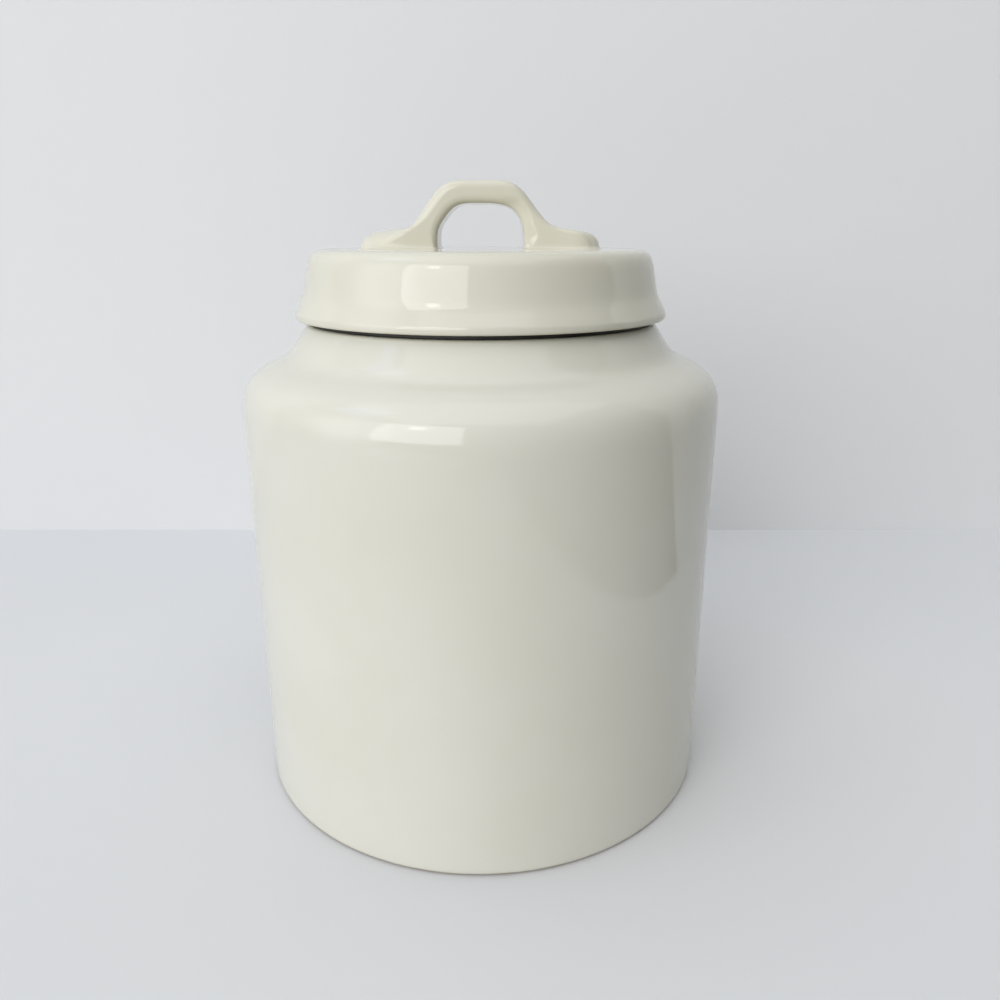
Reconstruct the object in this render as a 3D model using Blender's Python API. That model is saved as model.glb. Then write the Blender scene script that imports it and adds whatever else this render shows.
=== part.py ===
"""Round stoneware cookie jar with a lift-off lid, a strap handle and a ring seal. Metres, +Z up.

The origin is the middle of the foot, on the surface that the jar stands on. The jar, the lid and the
seal are turned about Z, and the handle's loop lies in the XZ plane.
"""

import math

import bmesh
import bpy
from mathutils import Vector

# Jar body
BODY_RADIUS = 0.090
JAR_HEIGHT = 0.1795
WALL = 0.005
FLOOR_THICKNESS = 0.0055
FLOOR_FILLET = 0.012
SHOULDER_DROP = 0.0185
SHOULDER_SLOPE = math.radians(23)
SHOULDER_RADIUS = 0.020
NECK_LEAN = math.radians(22)
NECK_COVE_RADIUS = 0.0135
RIM_RADIUS = 0.065
LIP_RADIUS = 0.0022
BASE_EDGE_RADIUS = 0.0018
FOOT_WIDTH = 0.0085
FOOT_RECESS = 0.002
FOOT_SIDE_SLOPE = 0.0015

# Room left between pieces that touch on the real jar
CLEARANCE = 0.0003

# Silicone seal: a sleeve with fins that grip the mouth, and a flat collar that lies on the rim
COLLAR_THICKNESS = 0.0016
COLLAR_SETBACK = 0.0014
SLEEVE_THICKNESS = 0.0008
SLEEVE_LENGTH = 0.0070
FIN_COUNT = 2
FIN_REACH = 0.0007
FIN_THICKNESS = 0.0008
FIN_PITCH = 0.0022

# Lid
LID_HEIGHT = 0.0223
LID_TOP_RADIUS = 0.0629
LID_EDGE_RADIUS = 0.0045
LID_WAIST_RADIUS = 0.0656
LID_WAIST_HEIGHT = 0.0088
LID_WAIST_FILLET = 0.016
BRIM_RADIUS = 0.0689
BRIM_HEIGHT = 0.0022
BRIM_CREST_RADIUS = 0.004
BRIM_EDGE_RADIUS = 0.0015
LID_TOP_THICKNESS = 0.005
LID_SIDE_THICKNESS = 0.0055
LID_CAVITY_FILLET = 0.006
FLANGE_THICKNESS = 0.004
BEAD_REACH = 0.0011
BEAD_HEIGHT = 0.0026
BEAD_EDGE_RADIUS = 0.0006

# Handle: outline seen from the front, in half widths and heights over the lid's top
HANDLE_HALF_LENGTH = 0.0437
HANDLE_HEIGHT = 0.0250
HANDLE_WIDTH = 0.026
HANDLE_EDGE_RADIUS = 0.0031
CROWN_HALF_WIDTH = 0.0126
CROWN_RADIUS = 0.012
LEG_FOOT_HALF_WIDTH = 0.0246
LEG_FOOT_RADIUS = 0.010
FOOT_ROOT_HEIGHT = 0.0096
FOOT_TIP_HEIGHT = 0.0071
FOOT_NOSE_RADIUS = 0.0062
FOOT_END_RADIUS = 0.009
LOOP_HEIGHT = 0.0173
LOOP_TOP_HALF_WIDTH = 0.0154
LOOP_FOOT_HALF_WIDTH = 0.0165
LOOP_RADIUS = 0.0105

# Facets
TURN_STEPS = 64
TURNED_SAG = 0.00012
HANDLE_SAG = 0.00006
HANDLE_EDGE_STEPS = 4
FOOT_END_STEPS = 2

# Levels and radii that follow from the sizes above
BRIM_LEVEL = JAR_HEIGHT + COLLAR_THICKNESS + 2 * CLEARANCE
LID_TOP_LEVEL = BRIM_LEVEL + LID_HEIGHT
MOUTH_RADIUS = RIM_RADIUS - WALL
FIN_RADIUS = MOUTH_RADIUS - CLEARANCE
SLEEVE_OUTER_RADIUS = FIN_RADIUS - FIN_REACH
SLEEVE_INNER_RADIUS = SLEEVE_OUTER_RADIUS - SLEEVE_THICKNESS
FLANGE_RADIUS = SLEEVE_INNER_RADIUS - CLEARANCE
SEAL_TOP_LEVEL = BRIM_LEVEL - CLEARANCE
SEAL_FOOT_LEVEL = SEAL_TOP_LEVEL - COLLAR_THICKNESS - SLEEVE_LENGTH
BEAD_TOP_LEVEL = SEAL_FOOT_LEVEL - CLEARANCE
FLANGE_FOOT_LEVEL = BEAD_TOP_LEVEL - BEAD_HEIGHT

# Colours, as linear red, green and blue
GLAZE_CREAM = (0.62, 0.60, 0.52)
SEAL_GREY = (0.16, 0.155, 0.145)


def clear_scene():
    for obj in list(bpy.data.objects):
        bpy.data.objects.remove(obj)


def make_material(name, colour, roughness):
    material = bpy.data.materials.new(name)
    material.use_nodes = True
    shader = material.node_tree.nodes["Principled BSDF"]
    shader.inputs["Base Color"].default_value = (*colour, 1.0)
    shader.inputs["Roughness"].default_value = roughness
    shader.inputs["Metallic"].default_value = 0.0
    return material


def rounded_corner(before, corner, after, radius, room, sag):
    """Points of the arc that rounds a corner within its room, with chords that leave it by at most sag."""
    corner = Vector(corner)
    back = (Vector(before) - corner).normalized()
    ahead = (Vector(after) - corner).normalized()
    turn = math.pi - back.angle(ahead)
    if radius <= 0 or turn < 1e-4:
        return [corner]
    reach = radius * math.tan(turn / 2)
    if reach > room:
        radius *= room / reach
        reach = room
    start = corner + back * reach
    centre = corner + (back + ahead).normalized() * (radius / math.cos(turn / 2))
    count = max(1, math.ceil(turn / (2 * math.acos(max(0, 1 - sag / radius)))))
    first = start - centre
    sign = 1 if back.cross(ahead) < 0 else -1
    points = []
    for i in range(count + 1):
        angle = sign * turn * i / count
        cosine = math.cos(angle)
        sine = math.sin(angle)
        points.append(centre + Vector((first.x * cosine - first.y * sine, first.x * sine + first.y * cosine)))
    return points


def room_towards(corner, neighbour):
    """How far a rounding may reach along an edge, which a rounded neighbour shares."""
    share = 0.49 if neighbour[2] > 0 else 0.97
    return share * (Vector(neighbour[:2]) - Vector(corner[:2])).length


def rounded_path(corners, sag=TURNED_SAG, closed=False):
    """A path through (across, up, rounding radius) corners, with each corner rounded by its own arc."""
    points = []
    last = len(corners) - 1
    for i, corner in enumerate(corners):
        if not closed and i in (0, last):
            points.append(Vector(corner[:2]))
            continue
        before = corners[i - 1]
        after = corners[(i + 1) % len(corners)]
        room = min(room_towards(corner, before), room_towards(corner, after))
        points += rounded_corner(before[:2], corner[:2], after[:2], corner[2], room, sag)
    return points


def new_object(name, mesh_builder, material):
    """An object whose mesh ends up closed, merged and smooth where it is curved."""
    bmesh.ops.remove_doubles(mesh_builder, verts=mesh_builder.verts, dist=1e-6)
    bmesh.ops.recalc_face_normals(mesh_builder, faces=mesh_builder.faces)
    mesh = bpy.data.meshes.new(name)
    mesh_builder.to_mesh(mesh)
    mesh_builder.free()
    mesh.materials.append(material)
    mesh.shade_smooth()
    mesh.set_sharp_from_angle(angle=math.radians(32))
    obj = bpy.data.objects.new(name, mesh)
    bpy.context.scene.collection.objects.link(obj)
    return obj


def turned(name, path, material, closed=False):
    """Spins a path of (radius, height) points once round Z."""
    builder = bmesh.new()
    verts = [builder.verts.new((point.x, 0, point.y)) for point in path]
    edges = [builder.edges.new(pair) for pair in zip(verts, verts[1:])]
    if closed:
        edges.append(builder.edges.new((verts[-1], verts[0])))
    bmesh.ops.spin(
        builder,
        geom=verts + edges,
        axis=(0, 0, 1),
        cent=(0, 0, 0),
        angle=2 * math.pi,
        steps=TURN_STEPS,
        use_merge=True,
    )
    return new_object(name, builder, material)


def shoulder_line(radius, depth=0.0):
    """Height of the sloping shoulder at a radius, or of a line that lies depth under its surface."""
    corner_level = JAR_HEIGHT - SHOULDER_DROP
    rise = (BODY_RADIUS - radius) * math.tan(SHOULDER_SLOPE)
    return corner_level + rise - depth / math.cos(SHOULDER_SLOPE)


def neck_corner():
    """Where the shoulder's line meets the line of the leaning neck, as (radius, height)."""
    slope = math.tan(SHOULDER_SLOPE)
    lean = math.tan(NECK_LEAN)
    height_at_rim = shoulder_line(RIM_RADIUS)
    drop = (JAR_HEIGHT - height_at_rim) / (1 - slope * lean)
    return RIM_RADIUS + drop * lean, JAR_HEIGHT - drop


def jar_body_path():
    """From the middle of the underside, out and up the outside, over the rim and down inside to the floor."""
    foot_outer = BODY_RADIUS - BASE_EDGE_RADIUS
    foot_inner = foot_outer - FOOT_WIDTH
    recess = foot_inner - FOOT_SIDE_SLOPE
    inside = BODY_RADIUS - WALL
    floor_level = FOOT_RECESS + FLOOR_THICKNESS
    neck_radius, neck_level = neck_corner()
    corners = [
        (0, FOOT_RECESS, 0),
        (recess, FOOT_RECESS, FOOT_SIDE_SLOPE / 2),
        (foot_inner, 0, FOOT_SIDE_SLOPE / 2),
        (BODY_RADIUS, 0, BASE_EDGE_RADIUS),
        (BODY_RADIUS, shoulder_line(BODY_RADIUS), SHOULDER_RADIUS),
        (neck_radius, neck_level, NECK_COVE_RADIUS),
        (RIM_RADIUS, JAR_HEIGHT, LIP_RADIUS),
        (MOUTH_RADIUS, JAR_HEIGHT, LIP_RADIUS),
        (MOUTH_RADIUS, shoulder_line(MOUTH_RADIUS, WALL), NECK_COVE_RADIUS),
        (inside, shoulder_line(inside, WALL), SHOULDER_RADIUS - WALL),
        (inside, floor_level, FLOOR_FILLET),
        (0, floor_level, 0),
    ]
    return rounded_path(corners)


def lid_path():
    """From the middle of the top, out and down the outside, under the brim, round the flange and up inside."""
    brim_top = BRIM_LEVEL + BRIM_HEIGHT
    bead_radius = FLANGE_RADIUS + BEAD_REACH
    flange_inner = FLANGE_RADIUS - FLANGE_THICKNESS
    cavity_radius = LID_TOP_RADIUS - LID_SIDE_THICKNESS
    ceiling = LID_TOP_LEVEL - LID_TOP_THICKNESS
    corners = [
        (0, LID_TOP_LEVEL, 0),
        (LID_TOP_RADIUS, LID_TOP_LEVEL, LID_EDGE_RADIUS),
        (LID_WAIST_RADIUS, BRIM_LEVEL + LID_WAIST_HEIGHT, LID_WAIST_FILLET),
        (BRIM_RADIUS, brim_top, BRIM_CREST_RADIUS),
        (BRIM_RADIUS, BRIM_LEVEL, BRIM_EDGE_RADIUS),
        (FLANGE_RADIUS, BRIM_LEVEL, 0),
        (FLANGE_RADIUS, BEAD_TOP_LEVEL, 0),
        (bead_radius, BEAD_TOP_LEVEL, BEAD_EDGE_RADIUS),
        (bead_radius, FLANGE_FOOT_LEVEL, BEAD_EDGE_RADIUS * 2),
        (flange_inner, FLANGE_FOOT_LEVEL, BEAD_EDGE_RADIUS * 2),
        (flange_inner, BRIM_LEVEL, FLANGE_THICKNESS),
        (cavity_radius, BRIM_LEVEL + LID_WAIST_HEIGHT, FLANGE_THICKNESS),
        (cavity_radius, ceiling, LID_CAVITY_FILLET),
        (0, ceiling, 0),
    ]
    return rounded_path(corners)


def lid_seal_path():
    """The seal's closed section: a collar on the rim, a sleeve down the flange, and fins on the sleeve."""
    collar_radius = RIM_RADIUS - COLLAR_SETBACK
    collar_under = SEAL_TOP_LEVEL - COLLAR_THICKNESS
    corners = [
        (SLEEVE_INNER_RADIUS, SEAL_TOP_LEVEL, 0),
        (collar_radius, SEAL_TOP_LEVEL, 0),
        (collar_radius, collar_under, 0),
        (SLEEVE_OUTER_RADIUS, collar_under, 0),
    ]
    for i in range(FIN_COUNT):
        fin_top = collar_under - FIN_PITCH * (i + 1)
        corners += [
            (SLEEVE_OUTER_RADIUS, fin_top, 0),
            (FIN_RADIUS, fin_top - FIN_THICKNESS / 3, 0),
            (FIN_RADIUS, fin_top - FIN_THICKNESS * 2 / 3, 0),
            (SLEEVE_OUTER_RADIUS, fin_top - FIN_THICKNESS, 0),
        ]
    corners += [
        (SLEEVE_OUTER_RADIUS, SEAL_FOOT_LEVEL, 0),
        (SLEEVE_INNER_RADIUS, SEAL_FOOT_LEVEL, 0),
    ]
    return rounded_path(corners, closed=True)


def handle_outline():
    """The handle's closed outline in the XZ plane, and whether each point lies on the flat underside."""
    outer = rounded_path(
        [
            (0, HANDLE_HEIGHT, 0),
            (CROWN_HALF_WIDTH, HANDLE_HEIGHT, CROWN_RADIUS),
            (LEG_FOOT_HALF_WIDTH, FOOT_ROOT_HEIGHT, LEG_FOOT_RADIUS),
            (HANDLE_HALF_LENGTH, FOOT_TIP_HEIGHT, FOOT_NOSE_RADIUS),
            (HANDLE_HALF_LENGTH, CLEARANCE, 0),
        ],
        HANDLE_SAG,
    )
    inner = rounded_path(
        [
            (LOOP_FOOT_HALF_WIDTH, CLEARANCE, 0),
            (LOOP_TOP_HALF_WIDTH, LOOP_HEIGHT, LOOP_RADIUS),
            (0, LOOP_HEIGHT, 0),
        ],
        HANDLE_SAG,
    )
    half = outer + inner
    mirrored = [Vector((-point.x, point.y)) for point in reversed(half[1:-1])]
    return half + mirrored


def outward_normals(outline):
    """Unit normals of a clockwise closed outline, with the level underside's kept level."""
    normals = []
    count = len(outline)
    for i, point in enumerate(outline):
        along = (outline[(i + 1) % count] - outline[i - 1]).normalized()
        normal = Vector((-along.y, along.x))
        if abs(point.y - CLEARANCE) < 1e-7:
            normal = Vector((math.copysign(1, normal.x), 0))
        normals.append(normal)
    return normals


def edge_layers():
    """Layers across the strap as (place along Y, how far the rounded edge draws the outline in)."""
    half_width = HANDLE_WIDTH / 2
    flat_end = half_width - HANDLE_EDGE_RADIUS
    end_start = half_width - FOOT_END_RADIUS
    layers = []
    for i in range(FOOT_END_STEPS):
        layers.append((end_start + (flat_end - end_start) * i / FOOT_END_STEPS, 0.0))
    for i in range(HANDLE_EDGE_STEPS + 1):
        angle = math.pi / 2 * i / HANDLE_EDGE_STEPS
        across = flat_end + HANDLE_EDGE_RADIUS * math.sin(angle)
        inset = HANDLE_EDGE_RADIUS * (1 - math.cos(angle))
        layers.append((across, inset))
    front = [(-across, inset) for across, inset in reversed(layers)]
    return front + layers


def foot_shortening(across):
    """Share of a foot's length that its rounded end takes off at a place across the strap."""
    into_end = max(0.0, abs(across) - (HANDLE_WIDTH / 2 - FOOT_END_RADIUS))
    lost = FOOT_END_RADIUS - math.sqrt(max(0.0, FOOT_END_RADIUS**2 - into_end**2))
    return lost / (HANDLE_HALF_LENGTH - LEG_FOOT_HALF_WIDTH)


def drawn_in(along, share):
    """A place along the handle, drawn towards the leg where it lies out on a foot."""
    reach = abs(along) - LEG_FOOT_HALF_WIDTH
    if reach <= 0:
        return along
    return math.copysign(LEG_FOOT_HALF_WIDTH + reach * (1 - share), along)


def make_handle(material):
    """Lofts the outline across the strap's width, drawn in at both edges, and closes its two sides."""
    outline = handle_outline()
    normals = outward_normals(outline)
    builder = bmesh.new()
    rings = []
    for across, inset in edge_layers():
        share = foot_shortening(across)
        ring = []
        for point, normal in zip(outline, normals):
            place = point - normal * inset
            along = drawn_in(place.x, share)
            ring.append(builder.verts.new((along, across, LID_TOP_LEVEL + place.y)))
        rings.append(ring)
    count = len(outline)
    for ring, following in zip(rings, rings[1:]):
        for i in range(count):
            j = (i + 1) % count
            builder.faces.new((ring[i], ring[j], following[j], following[i]))
    sides = [builder.faces.new(rings[0]), builder.faces.new(rings[-1])]
    bmesh.ops.triangulate(builder, faces=sides)
    return new_object("lid_handle", builder, material)


def turning_axis(name):
    """An empty on the jar's axis, at the level of the lid's seat, that the moving pieces hang from."""
    axis = bpy.data.objects.new(name, None)
    axis.location = (0, 0, BRIM_LEVEL)
    axis.empty_display_size = RIM_RADIUS
    bpy.context.scene.collection.objects.link(axis)
    return axis


def hang_from(piece, axis):
    piece.parent = axis
    piece.matrix_parent_inverse = axis.matrix_world.inverted()


def main():
    clear_scene()
    turned("jar_body", jar_body_path(), make_material("jar_glaze", GLAZE_CREAM, 0.15))
    lid = turned("lid", lid_path(), make_material("lid_glaze", GLAZE_CREAM, 0.15))
    handle = make_handle(make_material("handle_glaze", GLAZE_CREAM, 0.15))
    silicone = make_material("silicone", SEAL_GREY, 0.6)
    seal = turned("lid_seal", lid_seal_path(), silicone, closed=True)
    lift_axis = turning_axis("lift_axis")
    turn_axis = turning_axis("turn_axis")
    bpy.context.view_layer.update()
    hang_from(turn_axis, lift_axis)
    hang_from(seal, lift_axis)
    for piece in (lid, handle):
        hang_from(piece, turn_axis)


main()
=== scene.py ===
"""Glazed stoneware cookie jar: its pot, lid, strap handle and seal ring, on a pale table beside a window."""

import math

import bmesh
import bpy
from bpy.props import FloatProperty, FloatVectorProperty, IntProperty, PointerProperty
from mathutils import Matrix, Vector, noise


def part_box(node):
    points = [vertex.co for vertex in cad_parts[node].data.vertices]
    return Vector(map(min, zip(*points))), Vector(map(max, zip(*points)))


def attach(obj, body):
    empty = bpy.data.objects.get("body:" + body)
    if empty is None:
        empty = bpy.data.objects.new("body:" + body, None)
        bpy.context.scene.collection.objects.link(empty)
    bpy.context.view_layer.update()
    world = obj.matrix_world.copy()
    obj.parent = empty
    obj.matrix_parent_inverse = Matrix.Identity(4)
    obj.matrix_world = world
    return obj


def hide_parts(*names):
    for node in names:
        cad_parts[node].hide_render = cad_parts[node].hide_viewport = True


bl_info = {
    "name": "Stoneware Cookie Jar",
    "version": (1, 0, 0),
    "blender": (4, 5, 0),
    "location": "3D Viewport > Sidebar > Cookie Jar",
    "description": "A round glazed jar with a lift-off lid, a strap handle and a seal ring",
    "category": "Add Mesh",
}

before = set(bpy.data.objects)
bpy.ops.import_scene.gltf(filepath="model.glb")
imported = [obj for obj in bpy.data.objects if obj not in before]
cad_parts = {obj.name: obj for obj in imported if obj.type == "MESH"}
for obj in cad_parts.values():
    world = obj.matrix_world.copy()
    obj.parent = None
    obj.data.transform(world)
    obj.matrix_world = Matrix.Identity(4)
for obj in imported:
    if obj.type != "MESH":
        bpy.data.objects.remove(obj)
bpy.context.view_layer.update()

POT_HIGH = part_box("jar_body")[1]
LID_LOW, LID_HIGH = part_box("lid")
HANDLE_LOW, HANDLE_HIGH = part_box("lid_handle")
SEAL_LOW, SEAL_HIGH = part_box("lid_seal")

# Pieces that touch on the real jar are 0.3 mm apart as solids, and are brought nearly together here
CLOSED_UP = 0.00025

# The lid's front edge stands this much higher in the photograph than the solid's flat top
LID_RISE = 0.0018

# Keeps a smoothed piece inside the box of its solid
JUST_INSIDE = 0.00001

# How finely the surfaces are made: a path's turn and length at each step, and the steps once round
FINE_TURN = math.radians(5)
LONGEST_STEP = 0.004
SHORTEST_STEP = 0.0001
STEPS_ROUND = 192

# Points closer than this are one point, and a corner that turns less than this stays as it is
MERGE_DISTANCE = 1e-6
LEAST_TURN = 1e-4

# An eased corner is a Bezier curve of six points, three on each edge at these shares of its reach. With this
# spread its middle comes as near to the corner as the middle of a plain arc does. Two roundings that meet
# on an edge use no more than this share of it.
EASE_CONTROLS = (1.0, 0.6, 0.2)
BEZIER_WEIGHTS = (1, 5, 10, 10, 5, 1)
EASE_SPREAD = 0.375
EDGE_SHARE = 0.98


def length(name, description, default):
    """A length that can be changed in the sidebar, in metres."""
    return FloatProperty(
        name=name, description=description, default=default, min=0.0, unit="LENGTH", precision=5
    )


def angle(name, description, degrees):
    """An angle that can be changed in the sidebar."""
    return FloatProperty(
        name=name, description=description, default=math.radians(degrees), subtype="ANGLE"
    )


def colour(name, description, default):
    """A linear colour that can be changed in the sidebar."""
    return FloatVectorProperty(
        name=name, description=description, default=default, size=3, min=0.0, max=1.0, subtype="COLOR"
    )


def share(name, description, default):
    """A number from 0 to 1 that can be changed in the sidebar."""
    return FloatProperty(
        name=name, description=description, default=default, min=0.0, max=1.0, subtype="FACTOR"
    )


class PotSizes(bpy.types.PropertyGroup):
    """Sizes of the pot that holds the food."""

    radius: length("Body radius", "Outside of the straight wall", POT_HIGH.x)
    height: length("Height", "From the table to the rim", POT_HIGH.z + CLOSED_UP)
    wall: length("Wall", "Thickness of the cast wall", 0.005)
    floor: length("Floor", "Thickness of the floor", 0.0055)
    floor_fillet: length("Floor fillet", "Rounding between floor and wall, inside", 0.012)
    shoulder_drop: length("Shoulder drop", "From the rim down to where shoulder and wall would meet", 0.0190)
    shoulder_slope: angle("Shoulder slope", "Slope of the shoulder", 24)
    shoulder_radius: length("Shoulder rounding", "Rounding between shoulder and wall", 0.020)
    neck_lean: angle("Neck lean", "How far the neck leans in", 33)
    neck_cove: length("Neck cove", "Hollow rounding at the foot of the neck", 0.016)
    rim_radius: length("Rim radius", "Outside of the rim", 0.065)
    lip: length("Lip rounding", "Rounding of the rim's edges", 0.0022)
    base_edge: length("Base edge", "Rounding at the foot of the wall", 0.0023)
    foot_width: length("Foot width", "Flat ring that the jar stands on", 0.0073)
    foot_recess: length("Foot recess", "Height of the underside over the table", 0.002)
    foot_side: length("Foot side", "Slope of the foot ring's inner side", 0.0015)
    bare_height: length("Bare foot", "Height that was wiped clean of glaze", 0.0012)
    waver: length("Waver", "How far the cast wall strays inwards from true round", 0.00022)


class LidSizes(bpy.types.PropertyGroup):
    """Sizes of the lid."""

    top_level: length("Top level", "Height of the lid's flat top over the table", LID_HIGH.z + LID_RISE)
    height: length("Height", "From the brim's underside to the flat top", 0.0223 + LID_RISE + CLOSED_UP)
    top_radius: length("Top radius", "Outside of the wall, at the top", 0.0626)
    top_edge: length("Top edge", "Rounding of the top edge", 0.0060)
    waist_radius: length("Waist radius", "Outside of the wall where it starts to flare", 0.0656)
    waist_height: length("Waist height", "Height of the waist over the brim's underside", 0.0088)
    waist_fillet: length("Waist fillet", "Hollow rounding into the brim", 0.016)
    brim_radius: length("Brim radius", "Outside of the brim", LID_HIGH.x)
    brim_height: length("Brim height", "Height of the brim's edge", 0.0022)
    brim_crest: length("Brim crest", "Rounding over the brim", 0.004)
    brim_edge: length("Brim edge", "Rounding under the brim", 0.0015)
    top_thickness: length("Top thickness", "Thickness of the top", 0.005)
    side_thickness: length("Side thickness", "Thickness of the wall", 0.0055)
    cavity_fillet: length("Cavity fillet", "Rounding under the top, inside", 0.006)
    flange_radius: length("Flange radius", "Outside of the flange that drops into the mouth", 0.0579)
    flange: length("Flange", "Thickness of the flange", 0.004)
    flange_level: length("Flange level", "Height of the flange's foot over the table", LID_LOW.z)
    bead_reach: length("Bead reach", "How far the bead under the seal stands out", 0.0011)
    bead_height: length("Bead height", "Height of the bead under the seal", 0.0026)
    bead_edge: length("Bead edge", "Rounding of the bead", 0.0006)
    waver: length("Waver", "How far the cast wall strays inwards from true round", 0.00015)


class HandleSizes(bpy.types.PropertyGroup):
    """Sizes of the strap handle, seen from the front. Its heights are over the solid lid's top."""

    half_length: length("Half length", "From the middle to a foot's tip", HANDLE_HIGH.x)
    height: length("Height", "Top of the crown", HANDLE_HIGH.z - LID_HIGH.z - JUST_INSIDE)
    width: length("Width", "Width of the strap, front to back", HANDLE_HIGH.y - HANDLE_LOW.y)
    edge: length("Edge rounding", "Rounding of the strap's long edges", 0.0013)
    crown_edge: length("Crown edge rounding", "Rounding of the long edges along the crown", 0.0026)
    bevel_reach: length("Bevel reach", "Width of the bevel pressed inside the right leg", 0.0048)
    bevel_depth: length("Bevel depth", "Depth of the bevel pressed inside the right leg", 0.0017)
    crown_half: length("Crown half width", "From the middle to the crown's corner", 0.0126)
    crown_radius: length("Crown rounding", "Rounding between crown and leg", 0.012)
    leg_half: length("Leg foot half width", "From the middle to where a leg meets its foot", 0.0246)
    leg_radius: length("Leg foot rounding", "Hollow rounding between leg and foot", 0.010)
    root_height: length("Foot root height", "Height of a foot at its leg", 0.0096)
    tip_height: length("Foot tip height", "Height of a foot at its tip", 0.0071)
    nose: length("Nose rounding", "Rounding of a foot's tip, seen from the front", 0.0062)
    foot_end: length("Foot end rounding", "Rounding of the right foot's tip, seen from above", 0.009)
    pressed_end: length("Pressed foot end", "Rounding of the left foot's tip, seen from above", 0.005)
    loop_height: length("Loop height", "Height of the finger gap", 0.0173)
    loop_top_half: length("Loop top half", "Half width of the finger gap at the top", 0.0152)
    loop_foot_half: length("Loop foot half", "From the middle to the gap's right side, at the lid", 0.0162)
    loop_left_half: length("Loop left half", "From the middle to the gap's left side", 0.0153)
    loop_radius: length("Loop rounding", "Rounding of the gap's right top corner", 0.0128)
    loop_bend_height: length("Loop bend height", "Height at which the gap's left side bends in", 0.0088)
    loop_bend_half: length("Loop bend half", "From the middle to the bend's end, at the gap's top", 0.0088)
    loop_bend_radius: length("Loop bend rounding", "Rounding of the gap's left side", 0.014)
    pressed_foot: share("Pressed foot", "How far the left foot's long edges were pressed down", 0.55)
    grain: length("Mesh grain", "Size of the mesh's faces", 0.0005)
    luting: IntProperty(
        name="Luting", description="How many times the joint with the lid is smoothed over", default=8, min=0
    )


class SealSizes(bpy.types.PropertyGroup):
    """Sizes of the silicone ring on the lid's flange."""

    top_level: length("Top level", "Height of the collar's top over the table", SEAL_HIGH.z)
    foot_level: length("Foot level", "Height of the sleeve's foot over the table", SEAL_LOW.z)
    collar_radius: length("Collar radius", "Outside of the collar", SEAL_HIGH.x)
    collar: length("Collar", "Thickness of the collar", 0.0016)
    inner_radius: length("Sleeve inner radius", "Inside of the sleeve", 0.0582)
    sleeve: length("Sleeve", "Thickness of the sleeve", 0.0008)
    fin_reach: length("Fin reach", "How far a fin stands out", 0.0007)
    fin: length("Fin", "Thickness of a fin", 0.0008)
    fin_pitch: length("Fin pitch", "From one fin to the next", 0.0022)
    fins: IntProperty(name="Fins", description="Number of fins", default=2, min=1)
    edge: length("Edge rounding", "Rounding of the moulded edges", 0.0003)


class GlazeLook(bpy.types.PropertyGroup):
    """Finish of the glaze, the bare clay and the silicone, whose near-black colour also paints the shade in
    the gap under the lid's brim.
    """

    cream: colour("Cream", "Glaze where it is thick", (0.64, 0.638, 0.575))
    deep_cream: colour("Deep cream", "Glaze where it pools", (0.615, 0.61, 0.535))
    thin_cream: colour("Thin cream", "Glaze where it breaks over an edge", (0.60, 0.565, 0.475))
    clay: colour("Clay", "Bare clay of the foot ring", (0.42, 0.36, 0.28))
    pinhole: colour("Pinhole", "Clay that shows through at a pinhole", (0.30, 0.26, 0.20))
    # The seal's near-black colour is partly the silicone's own dark grey and partly painted shade of the gap
    # under the lid's brim
    silicone: colour("Silicone", "Dark grey seal ring", (0.022, 0.020, 0.017))
    lid_warmth: share("Lid warmth", "How much warmer the lid's glaze was fired", 0.04)
    handle_warmth: share("Handle warmth", "How much warmer the handle's glaze was fired", 0.07)
    roughness: share("Glaze roughness", "Roughness of the glaze", 0.06)
    clay_roughness: share("Clay roughness", "Roughness of the bare clay", 0.85)
    silicone_roughness: share("Silicone roughness", "Roughness of the seal ring", 0.5)


class StageLook(bpy.types.PropertyGroup):
    """Table, wall and the light of the room."""

    table: colour("Table", "Colour of the table top", (0.69, 0.702, 0.717))
    table_roughness: share("Table roughness", "Roughness of the table top", 0.45)
    table_gloss: share("Table gloss", "How much the table top mirrors, where 0.5 is plain paint", 0.15)
    wall: colour("Wall", "Colour of the wall behind", (0.70, 0.711, 0.727))
    wall_roughness: share("Wall roughness", "Roughness of the wall", 0.7)
    wall_distance: length("Wall distance", "From the jar's middle to the wall behind it", 0.262)
    horizon: colour("Horizon", "What the camera sees past the table and the wall", (0.68, 0.70, 0.715))
    room: colour("Room", "Plain light from the room", (0.38, 0.37, 0.345))
    dark_room: colour("Dark room", "Light from the room's dark side, at the right", (0.03, 0.028, 0.025))
    ceiling: colour("Ceiling", "Light from the ceiling", (0.38, 0.38, 0.37))


class CookieJar(bpy.types.PropertyGroup):
    """Everything about the jar that can be changed."""

    pot: PointerProperty(type=PotSizes, name="Pot", description="Sizes of the pot")
    lid: PointerProperty(type=LidSizes, name="Lid", description="Sizes of the lid")
    handle: PointerProperty(type=HandleSizes, name="Handle", description="Sizes of the handle")
    seal: PointerProperty(type=SealSizes, name="Seal", description="Sizes of the seal ring")
    glaze: PointerProperty(type=GlazeLook, name="Finish", description="Finish of every surface")
    stage: PointerProperty(type=StageLook, name="Stage", description="Table, wall and the light of the room")


# Turned profiles


def turn_between(before, corner, after):
    """Directions back and ahead from a corner, and the angle that the path turns there."""
    back = (Vector(before[:2]) - Vector(corner[:2])).normalized()
    ahead = (Vector(after[:2]) - Vector(corner[:2])).normalized()
    return back, ahead, math.pi - back.angle(ahead)


def wanted_reach(before, corner, after):
    """How far along its edges a corner's eased rounding wants to start."""
    turn = turn_between(before, corner, after)[2]
    if corner[2] <= 0 or turn < LEAST_TURN:
        return 0.0
    ease = math.tan(turn / 4) / (math.sin(turn / 2) * EASE_SPREAD)
    return corner[2] * math.tan(turn / 2) * ease


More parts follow.
